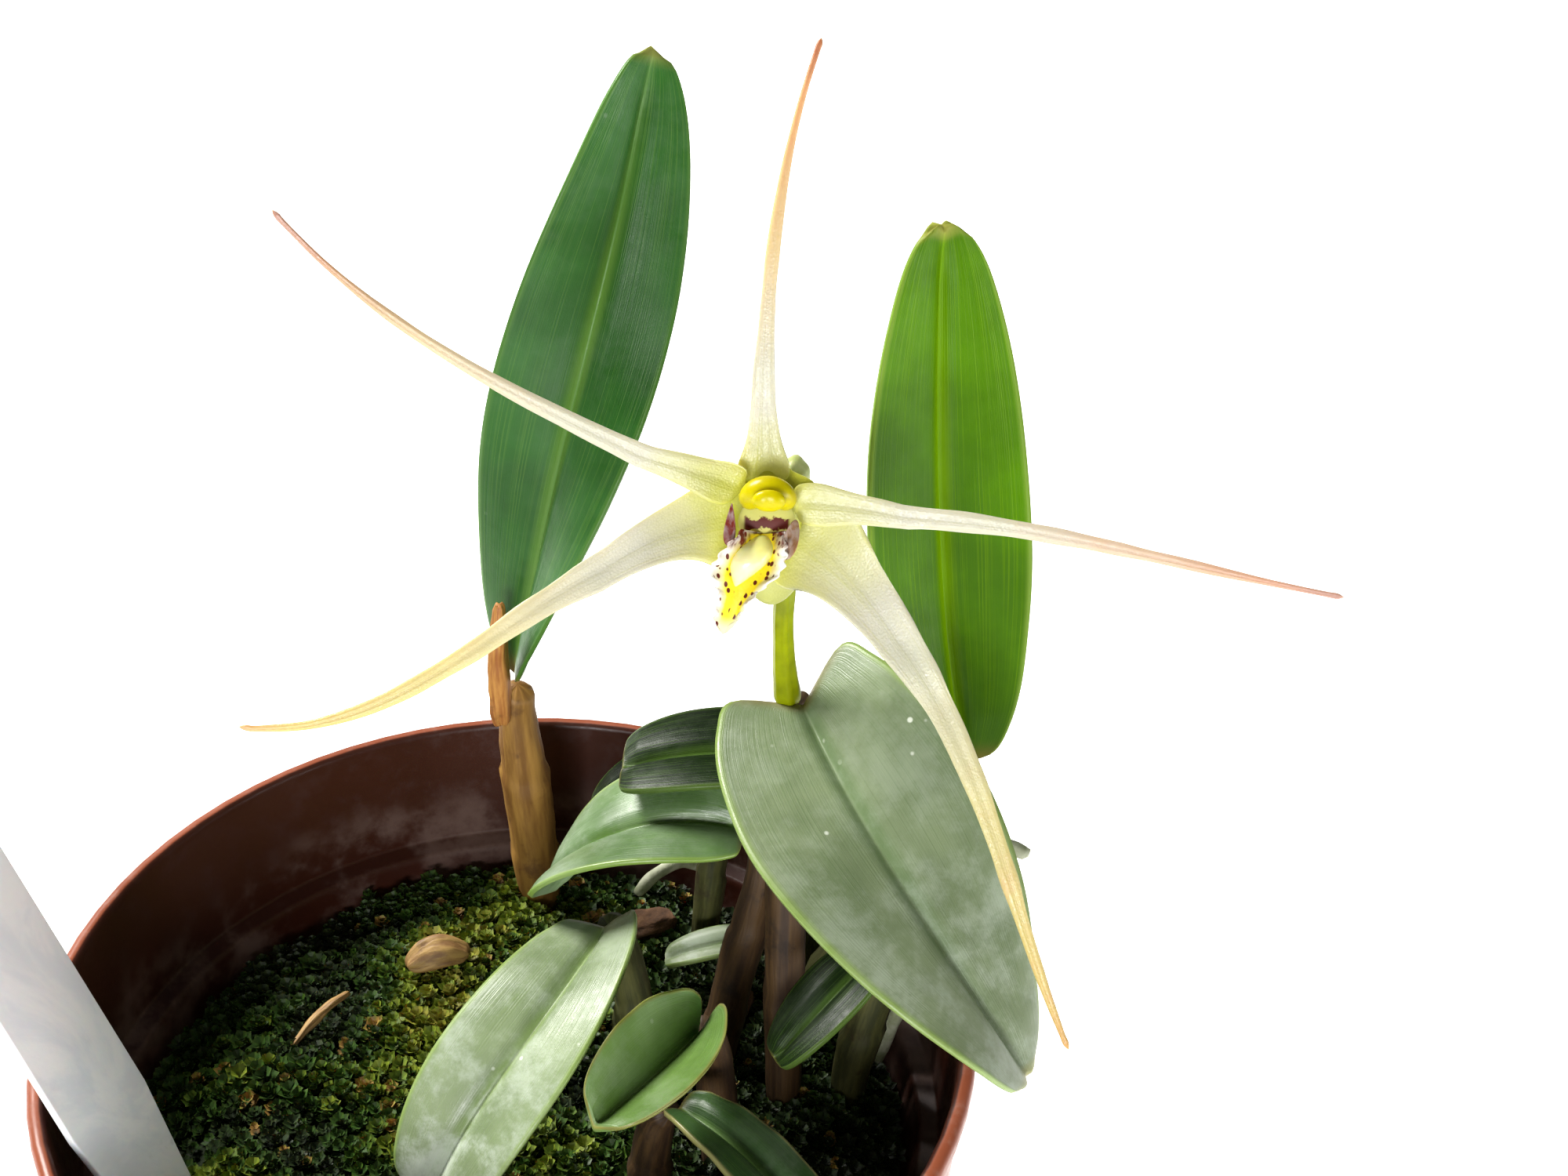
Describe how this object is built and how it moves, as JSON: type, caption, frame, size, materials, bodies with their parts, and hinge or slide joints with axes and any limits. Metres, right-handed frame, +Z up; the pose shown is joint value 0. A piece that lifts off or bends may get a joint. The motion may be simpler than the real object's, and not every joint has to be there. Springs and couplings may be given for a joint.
{
  "type": "potted orchid",
  "caption": "Dwarf orchid with one long-tailed ivory flower and notched waxy leaves, in a mossy terracotta-coloured nursery pot with a blank plant label.",
  "frame": {"origin": "centre of the pot's underside, on the surface it stands on", "axes": "+Z up along the pot's axis, -Y towards the viewer that the flower faces, +X to that viewer's right"},
  "size_m": [0.1361, 0.0935, 0.1649],
  "materials": {
    "terracotta_plastic": "semi-matt moulded terracotta-coloured plastic, glossier on the lip",
    "potting_mix": "damp dark bark and peat mix",
    "moss": "living moss, dark green to yellow-green with tan tips",
    "leaf": "waxy leaf with a satin sheen and a grooved midrib",
    "pseudobulb": "papery ochre-brown sheathed stem",
    "tepal": "ivory, soft satin, shading to peach at the tips",
    "lip": "yellow with maroon speckles and a white margin",
    "column": "waxy yellow-green",
    "flower_stalk": "smooth yellow-green stalk",
    "root": "matt pale green-grey aerial root",
    "bark": "rough broken bark",
    "dry_straw": "dry papery straw",
    "label_plastic": "thin white plastic, blank"
  },
  "bodies": {
    "root": {"anther_cap": "column", "bark_chip_1": "bark", "bark_chip_2": "bark", "bark_chip_3": "bark", "bark_chip_4": "bark", "column": "column", "dorsal_sepal": "tepal", "dry_bract": "dry_straw", "fallen_bract": "dry_straw", "fallen_straw": "dry_straw", "flower_stalk": "flower_stalk", "leaf_1": "leaf", "leaf_10": "leaf", "leaf_11": "leaf", "leaf_12": "leaf", "leaf_2": "leaf", "leaf_3": "leaf", "leaf_4": "leaf", "leaf_5": "leaf", "leaf_6": "leaf", "leaf_7": "leaf", "leaf_8": "leaf", "leaf_9": "leaf", "left_lateral_sepal": "tepal", "left_petal": "tepal", "lip": "lip", "mentum": "tepal", "moss_mat": "moss", "ovary": "flower_stalk", "plant_label": "label_plastic", "pot": "terracotta_plastic", "potting_mix": "potting_mix", "pseudobulb_1": "pseudobulb", "pseudobulb_10": "pseudobulb", "pseudobulb_11": "pseudobulb", "pseudobulb_12": "pseudobulb", "pseudobulb_2": "pseudobulb", "pseudobulb_3": "pseudobulb", "pseudobulb_4": "pseudobulb", "pseudobulb_5": "pseudobulb", "pseudobulb_6": "pseudobulb", "pseudobulb_7": "pseudobulb", "pseudobulb_8": "pseudobulb", "pseudobulb_9": "pseudobulb", "rhizome": "pseudobulb", "right_lateral_sepal": "tepal", "right_petal": "tepal", "root_1": "root", "root_2": "root"}
  },
  "joints": []
}
